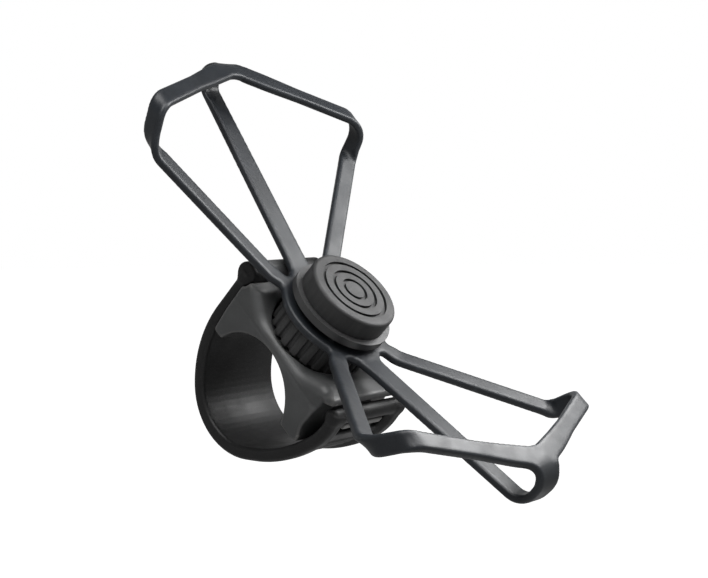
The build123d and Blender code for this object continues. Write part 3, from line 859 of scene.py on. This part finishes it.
def build_saddle():
    """The moulded base: body, seat, round pocket with its boss, pad recess, lug and hook."""
    (x, v, n), low = lattice((-base_half, *BASE_LOW), (base_half, *BASE_HIGH), FINE_STEP)
    values = saddle_body(x, v, n)
    values = smooth_max(values, SEAT_RADIUS - np.hypot(v, n), 0.8)
    from_axis = np.hypot(x, v)
    pocket = np.maximum(from_axis - POCKET_RADIUS, POCKET_FLOOR - n)
    values = smooth_max(values, -pocket, 0.9)
    boss_height = np.abs(n - BOSS_MIDDLE) - (BOSS_TOP - BOSS_MIDDLE)
    values = np.minimum(values, rounded_slab(from_axis - BOSS_RADIUS, boss_height, 0.4))
    insert = np.maximum(from_axis - INSERT_RADIUS, BOSS_TOP - INSERT_DEPTH - n)
    values = np.maximum(values, -insert)
    values = np.maximum(values, -pad_recess(x, v, n))
    from_pin = np.hypot(v - anchor[0], n - anchor[1])
    values = smooth_max(values, KNUCKLE + KNUCKLE_GAP - from_pin, 0.4)
    neck = np.maximum(
        np.abs(v - NECK_MIDDLE[0]) - NECK_HALF[0], np.abs(n - NECK_MIDDLE[1]) - NECK_HALF[1],
    )
    lug = smooth_min(from_pin - KNUCKLE, neck, 1.5)
    values = smooth_min(values, rounded_slab(np.abs(x) - LUG_HALF, lug, 0.6), 0.5)
    values = np.maximum(values, PIN_RADIUS - from_pin)
    under = (HOOK_TOP - HOOK_DEPTH - n) - (v - HOOK_TIP) * HOOK_SLOPE
    hook = np.maximum.reduce([HOOK_TIP - v, v - HOOK_ROOT, n - HOOK_TOP, under])
    values = smooth_min(values, rounded_slab(np.abs(x) - HOOK_HALF, hook, 0.5), 1.0)
    return mesh_field("saddle", values, low, FINE_STEP, base_plastic)


saddle = build_saddle()
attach(saddle, "base")
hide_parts("base_saddle")

# ---------------------------------------------------------------- dial
dial_low, dial_high = span("dial_ring")[0][2], span("dial_ring")[1][2]
DIAL_STEP = 0.26
SLAT_COUNT, SLAT_HALF = 22, 1.25
DIAL_OUTER, DIAL_ROOT, DIAL_INNER = 14.0, 13.05, 12.62


def build_dial():
    """Ribbed ring: rounded slats round a thin drum."""
    reach = DIAL_OUTER + 0.3
    (x, v, n), low = lattice((-reach, -reach, dial_low), (reach, reach, dial_high), DIAL_STEP)
    radius = np.hypot(x, v)
    height = np.abs(n - (dial_low + dial_high) / 2) - (dial_high - dial_low) / 2
    drum = np.maximum(radius - DIAL_ROOT, DIAL_INNER - radius)
    pitch = 2 * pi / SLAT_COUNT
    turn = (np.arctan2(v, x) + pitch / 2) % pitch - pitch / 2
    slat = rounded_slab(np.abs(turn) * radius - SLAT_HALF, radius - DIAL_OUTER, 0.45)
    slat = np.maximum(slat, DIAL_INNER - radius)
    values = rounded_slab(smooth_min(drum, slat, 0.3), height, 0.35)
    return mesh_field("dial", values, low, DIAL_STEP, dial_rubber)


dial = build_dial()
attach(dial, "head")
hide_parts("dial_ring")

# ---------------------------------------------------------------- room, light and camera
CAMERA_PLACE = Vector((-0.29997, -0.27014, 0.05503))
CAMERA_AZIMUTH = radians(-51.086)   # which way it looks, turned from +Y about +Z
CAMERA_DROP = radians(3.939)        # below the horizon
CAMERA_ROLL = radians(-0.445)
LENS = 71.79
FLOOR_DROP = 0.25                   # the floor is this far below the mount
FLOOR_RADIUS = 6
FLOOR_LIGHT, SKY_LIGHT = 0.3, 0.6   # share of the background's brightness that lights the mount

middle = (cad_low + cad_high) / 2
looking = Vector((
    -sin(CAMERA_AZIMUTH) * cos(CAMERA_DROP),
    cos(CAMERA_AZIMUTH) * cos(CAMERA_DROP),
    -sin(CAMERA_DROP),
))
away = Vector((looking.x, looking.y, 0)).normalized()
up = Vector((0, 0, 1))


def build_floor():
    """A plain pale floor, so wide that its edge meets the pale horizon."""
    turns = np.linspace(0, 2 * pi, 96, endpoint=False)
    rim = [(FLOOR_RADIUS * cos(a), FLOOR_RADIUS * sin(a), cad_low.z - FLOOR_DROP) for a in turns]
    mesh = bpy.data.meshes.new("floor")
    mesh.from_pydata(rim, [], [range(len(rim))])
    floor = bpy.data.objects.new("floor", mesh)
    bpy.context.scene.collection.objects.link(floor)
    white = new_material("studio_white", (0.5, 0.5, 0.5), 0.9, Emission_Color=(1, 1, 1, 1))
    ray = add_node(white, "ShaderNodeLightPath").outputs["Is Camera Ray"]
    glow = between(white, ray, 0, 1, FLOOR_LIGHT, 1.0)
    join(white, glow, white.node_tree.nodes["Principled BSDF"].inputs["Emission Strength"])
    mesh.materials.append(white)


def build_sky():
    """White near the horizon, like a studio's curved wall, and dim overhead."""
    world = bpy.data.worlds.new("studio")
    world.use_nodes = True
    nodes, links = world.node_tree.nodes, world.node_tree.links
    place = nodes.new("ShaderNodeTexCoord")
    split = nodes.new("ShaderNodeSeparateXYZ")
    fade = nodes.new("ShaderNodeMapRange")
    fade.interpolation_type = "SMOOTHSTEP"
    for socket, value in (("From Min", 0.17), ("From Max", 0.5), ("To Min", 1.0), ("To Max", 0.1)):
        fade.inputs[socket].default_value = value
    links.new(place.outputs["Generated"], split.inputs[0])
    links.new(split.outputs["Z"], fade.inputs["Value"])
    path = nodes.new("ShaderNodeLightPath")
    dimmed = nodes.new("ShaderNodeMapRange")
    dimmed.inputs["To Min"].default_value = SKY_LIGHT
    dimmed.inputs["To Max"].default_value = 1.0
    links.new(path.outputs["Is Camera Ray"], dimmed.inputs["Value"])
    product = nodes.new("ShaderNodeMath")
    product.operation = "MULTIPLY"
    links.new(fade.outputs["Result"], product.inputs[0])
    links.new(dimmed.outputs["Result"], product.inputs[1])
    links.new(product.outputs[0], nodes["Background"].inputs["Strength"])
    nodes["Background"].inputs["Color"].default_value = (1, 1, 1, 1)
    bpy.context.scene.world = world


def add_softbox(name, place, target, size, watts):
    """A rectangular studio light that faces its target; sizes in metres."""
    data = bpy.data.lights.new(name, "AREA")
    data.shape = "RECTANGLE"
    data.size, data.size_y = size
    data.energy = watts
    light = bpy.data.objects.new(name, data)
    light.location = place
    light.rotation_mode = "QUATERNION"
    light.rotation_quaternion = (target - place).to_track_quat("-Z", "Y")
    bpy.context.scene.collection.objects.link(light)


build_floor()
build_sky()
# The softboxes: "right" is mirrored in the lower yoke's face, "low" in its left bend, and
# "overhead" in the saddle's rim.
lower_face = Vector(to_frame((-10, -62, front)))
add_softbox("right", lower_face + Vector((0.14, -0.045, 0.142)), lower_face, (0.13, 0.13), 0.8)
lower_bend = Vector(to_frame((-40, -55, front)))
add_softbox("low", lower_bend + Vector((0.05, -0.066, 0.182)), lower_bend, (0.12, 0.1), 0.4)
add_softbox("overhead", middle + Vector((-0.17, -0.09, 0.3)), middle, (0.22, 0.3), 1.7)
add_softbox("rear", middle + away * 0.5 + up * 0.25, middle, (0.8, 0.3), 0.2)

camera_data = bpy.data.cameras.new("camera")
camera_data.lens = LENS
camera_data.sensor_width = 36
camera_data.clip_start = 0.01
camera = bpy.data.objects.new("camera", camera_data)
bpy.context.scene.collection.objects.link(camera)
camera.rotation_mode = "QUATERNION"
camera.location = CAMERA_PLACE
camera.rotation_quaternion = (
    looking.to_track_quat("-Z", "Y").to_matrix() @ Matrix.Rotation(CAMERA_ROLL, 3, "Z")
).to_quaternion()
bpy.context.scene.camera = camera
bpy.context.scene.view_settings.view_transform = "Standard"
